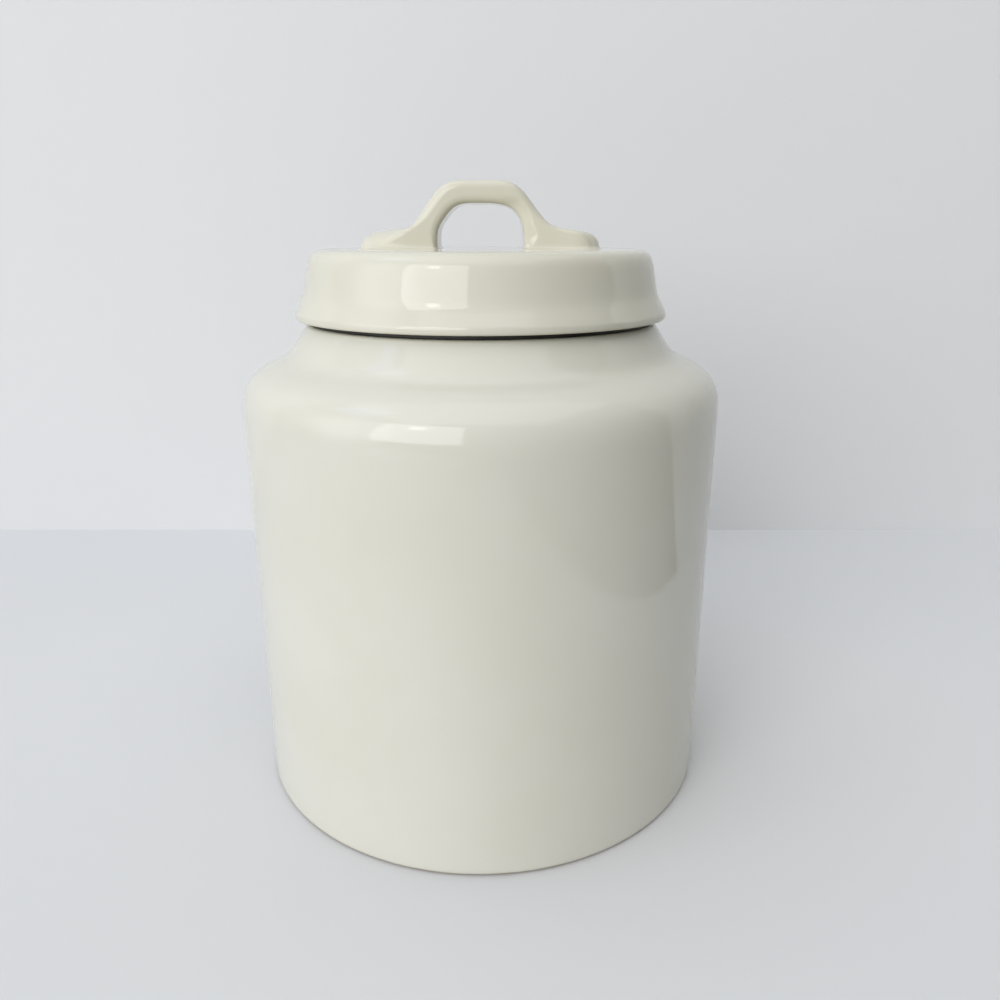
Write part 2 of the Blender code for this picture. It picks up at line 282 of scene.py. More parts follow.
def eased_corner(before, corner, after, reach):
    """Points of a rounding whose curvature grows from nothing and fades again, as that of thick glaze."""
    back, ahead, turn = turn_between(before, corner, after)
    middle = Vector(corner[:2])
    if reach <= 0:
        return [middle]
    controls = [middle + back * (reach * part) for part in EASE_CONTROLS]
    controls += [middle + ahead * (reach * part) for part in reversed(EASE_CONTROLS)]
    steps = min(math.ceil(turn / FINE_TURN), max(3, math.ceil(reach / SHORTEST_STEP)))
    points = []
    for i in range(steps + 1):
        t = i / steps
        point = Vector((0, 0))
        for power, (weight, control) in enumerate(zip(BEZIER_WEIGHTS, controls)):
            point += control * (weight * t**power * (1 - t) ** (5 - power))
        points.append(point)
    return points


def with_short_steps(points, closed):
    """The same path with its long straight runs cut into short ones."""
    ends = list(zip(points, points[1:]))
    if closed:
        ends.append((points[-1], points[0]))
    filled = []
    for start, end in ends:
        count = max(1, math.ceil((end - start).length / LONGEST_STEP))
        filled += [start.lerp(end, i / count) for i in range(count)]
    if not closed:
        filled.append(points[-1])
    return filled


def eased_path(corners, closed=False):
    """A path through (across, up, rounding) corners, whose roundings share each edge by what they want."""
    count = len(corners)
    wanted = [wanted_reach(corners[i - 1], corners[i], corners[(i + 1) % count]) for i in range(count)]
    if not closed:
        wanted[0] = wanted[-1] = 0.0
    points = []
    for i, corner in enumerate(corners):
        reach = wanted[i]
        for j in (i - 1, (i + 1) % count):
            edge = (Vector(corner[:2]) - Vector(corners[j][:2])).length
            if reach > 0:
                reach = min(reach, wanted[i] * EDGE_SHARE * edge / (wanted[i] + wanted[j]))
        points += eased_corner(corners[i - 1], corner, corners[(i + 1) % count], reach)
    return with_short_steps(points, closed)


# Meshes

# How far apart the swells of a cast wall are, what brings the noise nearly to its full range, and the least
# square length that is divided by
WAVER_LENGTH = 0.07
WAVER_GAIN = 1.6
LEAST_SQUARE = 1e-12


def linked(name, data):
    """A new object in the scene."""
    obj = bpy.data.objects.new(name, data)
    bpy.context.scene.collection.objects.link(obj)
    return obj


def finished(name, builder):
    """An object from a bmesh, smooth all over, with its normals out."""
    bmesh.ops.remove_doubles(builder, verts=builder.verts, dist=MERGE_DISTANCE)
    bmesh.ops.recalc_face_normals(builder, faces=builder.faces)
    mesh = bpy.data.meshes.new(name)
    builder.to_mesh(mesh)
    builder.free()
    mesh.shade_smooth()
    return linked(name, mesh)


def turned(name, path, closed=False):
    """Spins a path of (radius, height) points once round Z."""
    builder = bmesh.new()
    verts = [builder.verts.new((point.x, 0, point.y)) for point in path]
    edges = [builder.edges.new(pair) for pair in zip(verts, verts[1:])]
    if closed:
        edges.append(builder.edges.new((verts[-1], verts[0])))
    bmesh.ops.spin(
        builder,
        geom=verts + edges,
        axis=(0, 0, 1),
        cent=(0, 0, 0),
        angle=2 * math.pi,
        steps=STEPS_ROUND,
        use_merge=True,
    )
    return finished(name, builder)


def waver(obj, depth, inner_radius, full_radius, seed):
    """Draws the outer wall in a little, unevenly, as a cast wall dries and is fired slightly out of round."""
    for vertex in obj.data.vertices:
        across = math.hypot(vertex.co.x, vertex.co.y)
        weight = min(1.0, max(0.0, (across - inner_radius) / (full_radius - inner_radius)))
        if weight == 0:
            continue
        place = vertex.co / WAVER_LENGTH + Vector((seed, 0, 0))
        inward = depth * weight * (0.5 + 0.5 * max(-1.0, min(1.0, noise.noise(place) * WAVER_GAIN)))
        vertex.co.x -= vertex.co.x / across * inward
        vertex.co.y -= vertex.co.y / across * inward


def mark_thin_glaze(obj, blunt, sharp):
    """Stores how far each point stands proud on an edge, where glaze runs thin, from 0 to 1."""
    mesh = obj.data
    bend = [0.0] * len(mesh.vertices)
    count = [0] * len(mesh.vertices)
    for edge in mesh.edges:
        first, second = edge.vertices
        start, end = mesh.vertices[first], mesh.vertices[second]
        step = start.co - end.co
        reach = max(step.length_squared, LEAST_SQUARE)
        bend[first] += start.normal.dot(step) / reach
        bend[second] -= end.normal.dot(step) / reach
        count[first] += 1
        count[second] += 1
    mark = mesh.attributes.new("thin_glaze", "FLOAT", "POINT")
    for i in range(len(bend)):
        curvature = bend[i] / max(1, count[i])
        mark.data[i].value = min(1.0, max(0.0, (curvature - blunt) / (sharp - blunt)))


# Materials

# The part of its range that a noise texture mostly fills
NOISE_RANGE = (0.3, 0.7)

# Patterns in the glaze: features per metre, and depths in metres
CLOUD_SCALE = 16.0
CLOUD_RANGE = (0.35, 0.68)
BREAK_SCALE = 240.0
GLOSS_SCALE = 60.0
GLOSS_RANGE = (0.7, 1.4)
RIPPLE_SCALE = 95.0
RIPPLE_DEPTH = 0.00003
SKIN_SCALE = 900.0
SKIN_DEPTH = 0.000002
GLAZE_IOR = 1.43

# Pinholes: patches per metre, a pit's inner and outer reach in its patch, the draw over which a patch has
# one, its depth in metres, and how much of the clay shows
PINHOLE_SCALE = 75.0
PINHOLE_REACH = (0.012, 0.034)
PINHOLE_PICK = 0.93
PINHOLE_DEPTH = 0.00006
PINHOLE_STAIN = 0.35

# The wiped edge of the foot: how it wanders and how far it fades, in metres, then the clay's grain and shade
WIPE_SCALE = 110.0
WIPE_WANDER = 0.0003
WIPE_FADE = 0.0001
CLAY_SCALE = 1500.0
CLAY_SHADE = 0.86

# Silicone: a dusty bloom, lighter by a factor and a lift, and the moulded grain
BLOOM_SCALE = 70.0
BLOOM_RANGE = (0.4, 0.75)
BLOOM_FACTOR = 1.5
BLOOM_LIFT = 0.01
MATT_RANGE = (0.9, 1.2)
MOULD_SCALE = 2500.0
MOULD_DEPTH = 0.00001

# Stage paint: patches per metre, and their darker shade
PAINT_SCALE = 3.0
PAINT_SHADE = 0.985

# The colour sockets of a Mix node
MIX_FIRST, MIX_SECOND, MIX_RESULT = 6, 7, 2


def blank_material(name):
    """A new material, its node tree and its shader."""
    material = bpy.data.materials.new(name)
    material.use_nodes = True
    tree = material.node_tree
    return material, tree, tree.nodes["Principled BSDF"]


def noise_texture(tree, place, scale, detail=2.0, roughness=0.5):
    """Soft noise from 0 to 1, with so many features to the metre."""
    texture = tree.nodes.new("ShaderNodeTexNoise")
    texture.inputs["Scale"].default_value = scale
    texture.inputs["Detail"].default_value = detail
    texture.inputs["Roughness"].default_value = roughness
    tree.links.new(place, texture.inputs["Vector"])
    return texture.outputs["Fac"]


def spread(tree, value, low, high, to_low=0.0, to_high=1.0):
    """Maps a value's range to another, held at both ends."""
    mapped = tree.nodes.new("ShaderNodeMapRange")
    mapped.inputs["From Min"].default_value = low
    mapped.inputs["From Max"].default_value = high
    mapped.inputs["To Min"].default_value = to_low
    mapped.inputs["To Max"].default_value = to_high
    tree.links.new(value, mapped.inputs["Value"])
    return mapped.outputs["Result"]


def maths(tree, operation, first, second):
    """The result of an operation on two values, each a socket or a number."""
    node = tree.nodes.new("ShaderNodeMath")
    node.operation = operation
    for socket, value in zip(node.inputs, (first, second)):
        if isinstance(value, (int, float)):
            socket.default_value = value
        else:
            tree.links.new(value, socket)
    return node.outputs["Value"]


def mixed(tree, factor, first, second):
    """Mixes two colours, each a socket or a linear colour."""
    node = tree.nodes.new("ShaderNodeMix")
    node.data_type = "RGBA"
    tree.links.new(factor, node.inputs["Factor"])
    for socket, value in ((node.inputs[MIX_FIRST], first), (node.inputs[MIX_SECOND], second)):
        if isinstance(value, bpy.types.NodeSocket):
            tree.links.new(value, socket)
        else:
            socket.default_value = (*value, 1.0)
    return node.outputs[MIX_RESULT]


def bumped(tree, height, distance, normal=None):
    """A bump whose full height is a distance in metres."""
    bump = tree.nodes.new("ShaderNodeBump")
    bump.inputs["Strength"].default_value = 1.0
    bump.inputs["Distance"].default_value = distance
    tree.links.new(height, bump.inputs["Height"])
    if normal is not None:
        tree.links.new(normal, bump.inputs["Normal"])
    return bump.outputs["Normal"]


def object_place(tree):
    """Where a point of the piece is, in metres."""
    return tree.nodes.new("ShaderNodeTexCoord").outputs["Object"]


def pinholes(tree, place):
    """Small pits, one in every few patches, that bubbles leave in a glaze."""
    cells = tree.nodes.new("ShaderNodeTexVoronoi")
    cells.inputs["Scale"].default_value = PINHOLE_SCALE
    tree.links.new(place, cells.inputs["Vector"])
    pit = spread(tree, cells.outputs["Distance"], *PINHOLE_REACH, 1.0, 0.0)
    chosen = tree.nodes.new("ShaderNodeSeparateColor")
    tree.links.new(cells.outputs["Color"], chosen.inputs["Color"])
    picked = maths(tree, "GREATER_THAN", chosen.outputs["Red"], PINHOLE_PICK)
    return maths(tree, "MULTIPLY", pit, picked)


def warmed(base, warmth):
    """A colour with some of its green and most of that share of its blue taken out."""
    return base[0], base[1] * (1 - warmth / 4), base[2] * (1 - warmth)


def glaze_material(name, look, warmth=0.0, bare_height=None):
    """Cream glaze: soft clouds, thin warm edges, a few pinholes and a slightly rippled, glossy face."""
    material, tree, shader = blank_material(name)
    place = object_place(tree)
    clouds = spread(tree, noise_texture(tree, place, CLOUD_SCALE, 3.0), *CLOUD_RANGE)
    thin = tree.nodes.new("ShaderNodeAttribute")
    thin.attribute_name = "thin_glaze"
    broken = spread(tree, noise_texture(tree, place, BREAK_SCALE), *NOISE_RANGE, 0.5, 1.0)
    edge = maths(tree, "MULTIPLY", thin.outputs["Fac"], broken)
    pits = pinholes(tree, place)
    face = mixed(tree, clouds, warmed(look.cream, warmth), warmed(look.deep_cream, warmth))
    face = mixed(tree, edge, face, warmed(look.thin_cream, warmth))
    face = mixed(tree, maths(tree, "MULTIPLY", pits, PINHOLE_STAIN), face, tuple(look.pinhole))
    smooth, rough = (look.roughness * part for part in GLOSS_RANGE)
    gloss = spread(tree, noise_texture(tree, place, GLOSS_SCALE, 4.0), *NOISE_RANGE, smooth, rough)
    normal = bumped(tree, noise_texture(tree, place, RIPPLE_SCALE, 1.0), RIPPLE_DEPTH)
    normal = bumped(tree, noise_texture(tree, place, SKIN_SCALE), SKIN_DEPTH, normal)
    normal = bumped(tree, maths(tree, "MULTIPLY", pits, -1.0), PINHOLE_DEPTH, normal)
    if bare_height is not None:
        face, gloss = with_bare_foot(tree, place, face, gloss, look, bare_height)
    tree.links.new(face, shader.inputs["Base Color"])
    tree.links.new(gloss, shader.inputs["Roughness"])
    tree.links.new(normal, shader.inputs["Normal"])
    shader.inputs["IOR"].default_value = GLAZE_IOR
    return material


def with_bare_foot(tree, place, face, gloss, look, bare_height):
    """Leaves the foot ring unglazed, up to a wiped edge that wanders a little."""
    height = tree.nodes.new("ShaderNodeSeparateXYZ")
    tree.links.new(place, height.inputs["Vector"])
    wander = spread(tree, noise_texture(tree, place, WIPE_SCALE), *NOISE_RANGE, -WIPE_WANDER, WIPE_WANDER)
    level = maths(tree, "ADD", height.outputs["Z"], wander)
    bare = spread(tree, level, bare_height - WIPE_FADE, bare_height + WIPE_FADE, 1.0, 0.0)
    grain = spread(tree, noise_texture(tree, place, CLAY_SCALE, 3.0), *NOISE_RANGE)
    dark_clay = tuple(part * CLAY_SHADE for part in look.clay)
    clay = mixed(tree, grain, tuple(look.clay), dark_clay)
    face = mixed(tree, bare, face, clay)
    rough = tree.nodes.new("ShaderNodeMix")
    rough.data_type = "FLOAT"
    rough.inputs["B"].default_value = look.clay_roughness
    tree.links.new(bare, rough.inputs["Factor"])
    tree.links.new(gloss, rough.inputs["A"])
    return face, rough.outputs["Result"]


def silicone_material(look):
    """Dark grey moulded silicone, matt, with a faint bloom and a fine moulded grain. Its near-black colour
    also paints the shade in the gap under the lid's brim.
    """
    material, tree, shader = blank_material("seal silicone")
    place = object_place(tree)
    bloom = spread(tree, noise_texture(tree, place, BLOOM_SCALE, 4.0, 0.6), *BLOOM_RANGE)
    # The seal's colour is near black: dark silicone with the gap's shade painted in
    dusty = tuple(part * BLOOM_FACTOR + BLOOM_LIFT for part in look.silicone)
    tree.links.new(mixed(tree, bloom, tuple(look.silicone), dusty), shader.inputs["Base Color"])
    clean, dull = (look.silicone_roughness * part for part in MATT_RANGE)
    tree.links.new(spread(tree, bloom, 0.0, 1.0, clean, dull), shader.inputs["Roughness"])
    grain = noise_texture(tree, place, MOULD_SCALE)
    tree.links.new(bumped(tree, grain, MOULD_DEPTH), shader.inputs["Normal"])
    return material


def plain_material(name, base, roughness, specular=0.5, one_sided=False):
    """Pale stage surface with a faint paint grain. One that is one-sided can be seen through from behind."""
    material, tree, shader = blank_material(name)
    place = object_place(tree)
    patches = spread(tree, noise_texture(tree, place, PAINT_SCALE), *NOISE_RANGE)
    shade = tuple(part * PAINT_SHADE for part in base)
    tree.links.new(mixed(tree, patches, tuple(base), shade), shader.inputs["Base Color"])
    shader.inputs["Roughness"].default_value = roughness
    shader.inputs["Specular IOR Level"].default_value = specular
    if one_sided:
        side = tree.nodes.new("ShaderNodeNewGeometry")
        clear = tree.nodes.new("ShaderNodeBsdfTransparent")
        choice = tree.nodes.new("ShaderNodeMixShader")
        output = tree.nodes["Material Output"]
        tree.links.new(side.outputs["Backfacing"], choice.inputs["Fac"])
        tree.links.new(shader.outputs["BSDF"], choice.inputs[1])
        tree.links.new(clear.outputs["BSDF"], choice.inputs[2])
        tree.links.new(choice.outputs["Shader"], output.inputs["Surface"])
    return material


# Pot

# The wall's waver starts this far outside the rim, and is full this far short of the wall
POT_WAVER_START = 0.003
POT_WAVER_FULL = 0.006


def shoulder_line(pot, radius, depth=0.0):
    """Height of the sloping shoulder at a radius, or of a line that lies depth under its surface."""
    rise = (pot.radius - radius) * math.tan(pot.shoulder_slope)
    return pot.height - pot.shoulder_drop + rise - depth / math.cos(pot.shoulder_slope)


def neck_corner(pot):
    """Where the shoulder's line meets the line of the leaning neck, as (radius, height)."""
    lean = math.tan(pot.neck_lean)
    drop = (pot.height - shoulder_line(pot, pot.rim_radius)) / (1 - math.tan(pot.shoulder_slope) * lean)
    return pot.rim_radius + drop * lean, pot.height - drop


def pot_path(pot):
    """From the middle of the underside, out and up the outside, over the rim and down inside to the floor."""
    foot_inner = pot.radius - pot.base_edge - pot.foot_width
    recess = foot_inner - pot.foot_side
    inside = pot.radius - pot.wall
    mouth = pot.rim_radius - pot.wall
    floor_level = pot.foot_recess + pot.floor
    neck_radius, neck_level = neck_corner(pot)
    corners = [
        (0, pot.foot_recess, 0),
        (recess, pot.foot_recess, pot.foot_side / 2),
        (foot_inner, 0, pot.foot_side / 2),
        (pot.radius, 0, pot.base_edge),
        (pot.radius, shoulder_line(pot, pot.radius), pot.shoulder_radius),
        (neck_radius, neck_level, pot.neck_cove),
        (pot.rim_radius, pot.height, pot.lip),
        (mouth, pot.height, pot.lip),
        (mouth, shoulder_line(pot, mouth, pot.wall), pot.neck_cove),
        (inside, shoulder_line(pot, inside, pot.wall), pot.shoulder_radius - pot.wall),
        (inside, floor_level, pot.floor_fillet),
        (0, floor_level, 0),
    ]
    return eased_path(corners)


class COOKIEJAR_OT_pot(bpy.types.Operator):
    """Turn the pot, glaze it and leave its foot ring bare"""

    bl_idname = "cookiejar.pot"
    bl_label = "Make the Pot"

    def execute(self, context):
        jar = context.scene.cookie_jar
        pot = turned("stoneware_pot", pot_path(jar.pot))
        full_radius = jar.pot.radius - POT_WAVER_FULL
        waver(pot, jar.pot.waver, jar.pot.rim_radius + POT_WAVER_START, full_radius, seed=3.1)
        mark_thin_glaze(pot, blunt=60, sharp=260)
        pot.data.materials.append(glaze_material("pot glaze", jar.glaze, bare_height=jar.pot.bare_height))
        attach(pot, "jar")
        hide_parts("jar_body")
        return {"FINISHED"}


# Lid

# The waver starts this far outside the flange
LID_WAVER_START = 0.002


def lid_path(lid):
    """From the middle of the top, down the outside, under the brim, round the flange and up inside."""
    brim_level = lid.top_level - lid.height
    bead_radius = lid.flange_radius + lid.bead_reach
    bead_top = lid.flange_level + lid.bead_height
    flange_inner = lid.flange_radius - lid.flange
    cavity_radius = lid.top_radius - lid.side_thickness
    ceiling = lid.top_level - lid.top_thickness
    corners = [
        (0, lid.top_level, 0),
        (lid.top_radius, lid.top_level, lid.top_edge),
        (lid.waist_radius, brim_level + lid.waist_height, lid.waist_fillet),
        (lid.brim_radius, brim_level + lid.brim_height, lid.brim_crest),
        (lid.brim_radius, brim_level, lid.brim_edge),
        (lid.flange_radius, brim_level, lid.bead_edge / 2),
        (lid.flange_radius, bead_top, lid.bead_edge / 2),
        (bead_radius, bead_top, lid.bead_edge),
        (bead_radius, lid.flange_level, lid.bead_edge * 2),
        (flange_inner, lid.flange_level, lid.bead_edge * 2),
        (flange_inner, brim_level, lid.flange),
        (cavity_radius, brim_level + lid.waist_height, lid.flange),
        (cavity_radius, ceiling, lid.cavity_fillet),
        (0, ceiling, 0),
    ]
    return eased_path(corners)


class COOKIEJAR_OT_lid(bpy.types.Operator):
    """Turn the hollow lid with its flared brim and flange, and glaze it"""

    bl_idname = "cookiejar.lid"
    bl_label = "Make the Lid"

    def execute(self, context):
        jar = context.scene.cookie_jar
        lid = turned("stoneware_lid", lid_path(jar.lid))
        waver(lid, jar.lid.waver, jar.lid.flange_radius + LID_WAVER_START, jar.lid.top_radius, seed=8.7)
        mark_thin_glaze(lid, blunt=90, sharp=420)
        lid.data.materials.append(glaze_material("lid glaze", jar.glaze, jar.glaze.lid_warmth))
        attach(lid, "lid")
        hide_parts("lid")
        return {"FINISHED"}


# Handle

# Steps across half the strap's flat, and round its edge
FLAT_STEPS = 6
EDGE_STEPS = 8

# How far the strap reaches into the lid, and the lid's patch round its feet, before the two are melted
# together. Then the patch is cut off this far over the lid's top, and the cut is closed this much lower.
STRAP_SUNK = 0.003
PATCH_MARGIN = 0.008
CUT_OVER_LID = 0.00005
CUT_SKIRT = 0.00025


def handle_outline(handle):
    """The handle's closed outline in the XZ plane, over the solid lid's top, its feet sunk below that."""
    outer = [
        (0, handle.height, 0),
        (handle.crown_half, handle.height, handle.crown_radius),
        (handle.leg_half, handle.root_height, handle.leg_radius),
        (handle.half_length, handle.tip_height, handle.nose),
        (handle.half_length, -STRAP_SUNK, 0),
    ]
    right_gap = [
        (handle.loop_foot_half, -STRAP_SUNK, 0),
        (handle.loop_top_half, handle.loop_height, handle.loop_radius),
        (0, handle.loop_height, 0),
    ]
    left_gap = [
        (handle.loop_left_half, -STRAP_SUNK, 0),
        (handle.loop_left_half, handle.loop_bend_height, handle.loop_bend_radius),
        (handle.loop_bend_half, handle.loop_height, handle.loop_bend_radius),
        (0, handle.loop_height, 0),
    ]
    outside = eased_path(outer)
    right = outside + eased_path(right_gap)
    left = outside + eased_path(left_gap)
    return right + [Vector((-point.x, point.y)) for point in reversed(left[1:-1])]


def outward_normals(outline):
    """Unit normals of a clockwise closed outline."""
    count = len(outline)
    normals = []
    for i in range(count):
        along = (outline[(i + 1) % count] - outline[i - 1]).normalized()
        normals.append(Vector((-along.y, along.x)))
    return normals


def ramp(value, low, high):
    """0 up to low, 1 from high on, and an eased rise between them."""
    t = min(1.0, max(0.0, (value - low) / (high - low)))
    return t * t * (3 - 2 * t)


def in_finger_gap(handle, point):
    """Whether a point of the outline is on the inside of the loop."""
    slack = handle.edge / 2
    return abs(point.x) < handle.loop_foot_half + slack and point.y < handle.loop_height + slack


def edge_rounding(handle, point):
    """Rounding of the strap's long edges at a point: fullest on the crown and inside the left leg."""
    fullness = ramp(point.y, handle.root_height, handle.loop_height)
    if in_finger_gap(handle, point):
        fullness = max(fullness, ramp(-point.x, 0.0, handle.loop_bend_half))
    return handle.edge + (handle.crown_edge - handle.edge) * fullness


def bevel_share(handle, point):
    """1 inside the right leg, where the strap's edge is pressed to a bevel, and 0 away from it."""
    if not in_finger_gap(handle, point):
        return 0.0
    return ramp(point.x, handle.crown_half / 2, handle.loop_top_half * 0.9)


def edge_offset(handle, point, lean):
    """How far a point of the strap's edge lies in from the outline, and in from the strap's side."""
    rounding = edge_rounding(handle, point)
    bevel = bevel_share(handle, point)
    along_bevel = lean / (math.pi / 2)
    inward = rounding * (1 - math.cos(lean)) * (1 - bevel) + handle.bevel_reach * along_bevel * bevel
    back = rounding * (1 - math.sin(lean)) * (1 - bevel) + handle.bevel_depth * (1 - along_bevel) * bevel
    return inward, back


def strap_layers():
    """Steps across the strap: the share of its flat half width, and how far round its edge, as an angle."""
    layers = [(i / FLAT_STEPS, 0.0) for i in range(FLAT_STEPS)]
    layers += [(1.0, math.pi / 2 * i / EDGE_STEPS) for i in range(EDGE_STEPS + 1)]
    back = [(-share_of_flat, -lean) for share_of_flat, lean in reversed(layers[1:])]
    return back + layers


def rounded_foot(handle, along, across):
    """A place along the handle, drawn in towards its leg where the foot's end is rounded, seen from above."""
    reach = abs(along) - handle.leg_half
    if reach <= 0:
        return along
    rounding = handle.pressed_end if along < 0 else handle.foot_end
    into_end = max(0.0, abs(across) - (handle.width / 2 - rounding))
    lost = rounding - math.sqrt(max(0.0, rounding**2 - into_end**2))
    kept = 1 - lost / (handle.half_length - handle.leg_half)
    return math.copysign(handle.leg_half + reach * kept, along)


def pressed_height(handle, along, across, up):
    """Height of a point once the left foot's long edges are pressed down towards the lid."""
    on_foot = ramp(-along, handle.loop_foot_half, handle.half_length)
    at_edge = (abs(across) / (handle.width / 2)) ** 2
    return up * (1 - handle.pressed_foot * on_foot * at_edge) if up > 0 else up


def strap_blank(handle, base_level):
    """The bent strap before it is luted on: its outline over a base level, lofted across its width."""
    outline = handle_outline(handle)
    normals = outward_normals(outline)
    builder = bmesh.new()
    rings = []
    for flat_share, lean in strap_layers():
        ring = []
        for point, normal in zip(outline, normals):
            inward, back = edge_offset(handle, point, abs(lean))
            across = (handle.width / 2 - back) * flat_share
            place = point - normal * inward
            along = rounded_foot(handle, place.x, across)
            up = pressed_height(handle, place.x, across, place.y)
            ring.append(builder.verts.new((along, across, base_level + up)))
        rings.append(ring)
    for ring, following in zip(rings, rings[1:]):
        for i in range(len(ring)):
            j = (i + 1) % len(ring)
            builder.faces.new((ring[i], ring[j], following[j], following[i]))
    sides = [builder.faces.new(rings[0]), builder.faces.new(rings[-1])]
    bmesh.ops.triangulate(builder, faces=sides)
    return builder


def add_lid_patch(builder, handle, lid_level, depth):
    """Adds a disc of the lid's top under the strap, for the luted joint to be smoothed on to."""
    radius = handle.half_length + PATCH_MARGIN
    patch = bmesh.ops.create_cone(
        builder, cap_ends=True, segments=STEPS_ROUND // 2, radius1=radius, radius2=radius, depth=depth
    )
    bmesh.ops.translate(builder, verts=patch["verts"], vec=(0, 0, lid_level - depth / 2))


def smoothed_together(name, builder, grain, passes):
    """Melts the strap and the patch into one skin, and smooths the joint between them."""
    blank = finished(name + "_blank", builder)
    melt = blank.modifiers.new("Melt", "REMESH")
    melt.mode = "VOXEL"
    melt.voxel_size = grain
    smooth = blank.modifiers.new("Smooth", "SMOOTH")
    smooth.factor = 0.5
    smooth.iterations = passes
    evaluated = blank.evaluated_get(bpy.context.evaluated_depsgraph_get())
    builder = bmesh.new()
    builder.from_mesh(evaluated.to_mesh())
    evaluated.to_mesh_clear()
    bpy.data.objects.remove(blank)
    return builder


def trim_to_lid(builder, level):
    """Cuts the patch away, and closes the strap's underside just inside the lid's top."""
    geometry = builder.verts[:] + builder.edges[:] + builder.faces[:]
    cut = Vector((0, 0, level + CUT_OVER_LID))
    bmesh.ops.bisect_plane(builder, geom=geometry, plane_co=cut, plane_no=(0, 0, 1), clear_inner=True)
    rim = [edge for edge in builder.edges if edge.is_boundary]
    lowered = bmesh.ops.extrude_edge_only(builder, edges=rim)["geom"]
    verts = [part for part in lowered if isinstance(part, bmesh.types.BMVert)]
    bmesh.ops.translate(builder, verts=verts, vec=(0, 0, -CUT_SKIRT))
    loose = [edge for edge in builder.edges if edge.is_boundary]
    bmesh.ops.contextual_create(builder, geom=loose)


class COOKIEJAR_OT_handle(bpy.types.Operator):
    """Bend the strap handle, lute its two feet on to the lid and glaze it"""

    bl_idname = "cookiejar.handle"
    bl_label = "Make the Handle"

    def execute(self, context):
        jar = context.scene.cookie_jar
        handle = jar.handle
        level = jar.lid.top_level
        builder = strap_blank(handle, LID_HIGH.z)
        add_lid_patch(builder, handle, level, level - LID_HIGH.z + STRAP_SUNK)
        builder = smoothed_together("stoneware_handle", builder, handle.grain, handle.luting)
        trim_to_lid(builder, level)
        strap = finished("stoneware_handle", builder)
        mark_thin_glaze(strap, blunt=120, sharp=420)
        strap.data.materials.append(glaze_material("handle glaze", jar.glaze, jar.glaze.handle_warmth))
        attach(strap, "lid")
        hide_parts("lid_handle")
        return {"FINISHED"}


# Seal


def seal_path(seal):
    """The ring's closed section: a collar on the rim, a sleeve down the flange, and fins on the sleeve."""
    outer = seal.inner_radius + seal.sleeve
    under = seal.top_level - seal.collar
    corners = [
        (seal.inner_radius, seal.top_level, seal.edge),
        (seal.collar_radius, seal.top_level, seal.edge),
        (seal.collar_radius, under, seal.edge),
        (outer, under, seal.edge),
    ]
    for i in range(seal.fins):
        fin_top = under - seal.fin_pitch * (i + 1)
        corners += [
            (outer, fin_top, seal.edge / 3),
            (outer + seal.fin_reach, fin_top - seal.fin / 3, seal.edge / 3),
            (outer + seal.fin_reach, fin_top - seal.fin * 2 / 3, seal.edge / 3),
            (outer, fin_top - seal.fin, seal.edge / 3),
        ]
    corners += [
        (outer, seal.foot_level, seal.edge),
        (seal.inner_radius, seal.foot_level, seal.edge),
    ]
    return eased_path(corners, closed=True)


class COOKIEJAR_OT_seal(bpy.types.Operator):
    """Mould the dark silicone ring that seals the lid, dark enough to paint the shade in the gap under the
    brim
    """

    bl_idname = "cookiejar.seal"
    bl_label = "Make the Seal"

    def execute(self, context):
        jar = context.scene.cookie_jar
        seal = turned("silicone_seal", seal_path(jar.seal), closed=True)
        seal.data.materials.append(silicone_material(jar.glaze))
        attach(seal, "seal")
        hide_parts("lid_seal")
        return {"FINISHED"}


# Stage

# The table's outline, cut short where the glaze mirrors the dark side of the room
TABLE_CORNERS = (
    (-0.9, -0.9),
    (-0.05, -0.9),
    (0.2, -0.35),
    (0.3, 0.03),
    (1.1, 0.03),
    (1.1, 1.6),
    (-1.1, 1.6),
    (-1.1, 0.262),
    (-0.9, 0.262),
)

# The wall behind reaches this far each way, and its right end turns forward by the side wall's depth
WALL_REACH = 1.1
WALL_HEIGHT = 1.1
SIDE_WALL_DEPTH = 0.232

# The room's light turns to the ceiling's between these heights of a unit direction, and to the dark side's
# between these reaches to the right
CEILING_RISE = (0.52, 0.68)
DARK_SIDE = (0.0, 0.85)

# A soft glow at the jar's left: its colour, azimuth and elevation, where it fades out and where it is full
SIDE_GLOW = (2.1, 2.1, 2.1)
SIDE_GLOW_TOWARD = (-62, 16)
SIDE_GLOW_WIDE = 26
SIDE_GLOW_TIGHT = 8

# Upright lamps: azimuths and elevations in degrees, distance in metres, radiance and tint. Elevations are
# taken from this level over the table.
LAMP_LEVEL = 0.15
WHITE = (1.0, 1.0, 1.0)
UPRIGHT_LAMPS = {
    "window": ((-49, -7), (2, 40), 4.0, 3.35, WHITE),
    "bright_pane": ((-34, -26), (28, 36), 3.95, 5.0, WHITE),
    "sky_pane": ((-98, -66), (44, 62), 1.6, 1.35, (0.36, 0.5, 1.0)),
}

# The ceiling's soft glow: width, length, radiance and place
CEILING_GLOW = (1.9, 1.7, 0.92)
CEILING_GLOW_PLACE = (-0.05, -0.5, 1.5)

# The camera's place, how far it dips below level in degrees, and its lens and sensor in millimetres
CAMERA_PLACE = (0.0071, -0.3222, 0.21105)
CAMERA_DIP = 17.8
CAMERA_LENS = 29.88
CAMERA_SENSOR = 36.0
NEAREST_SEEN = 0.01
FURTHEST_SEEN = 50.0


def flat_sheet(name, corners, material):
    """A flat piece of the stage between its corners."""
    builder = bmesh.new()
    builder.faces.new([builder.verts.new(corner) for corner in corners])
    mesh = bpy.data.meshes.new(name)
    builder.to_mesh(mesh)
    builder.free()
    sheet = linked(name, mesh)
    mesh.materials.append(material)


def upright_sheet(name, start, end, height, material):
    """A flat wall between two places on the table's level, facing the jar."""
    flat_sheet(name, [(*start, 0), (*end, 0), (*end, height), (*start, height)], material)


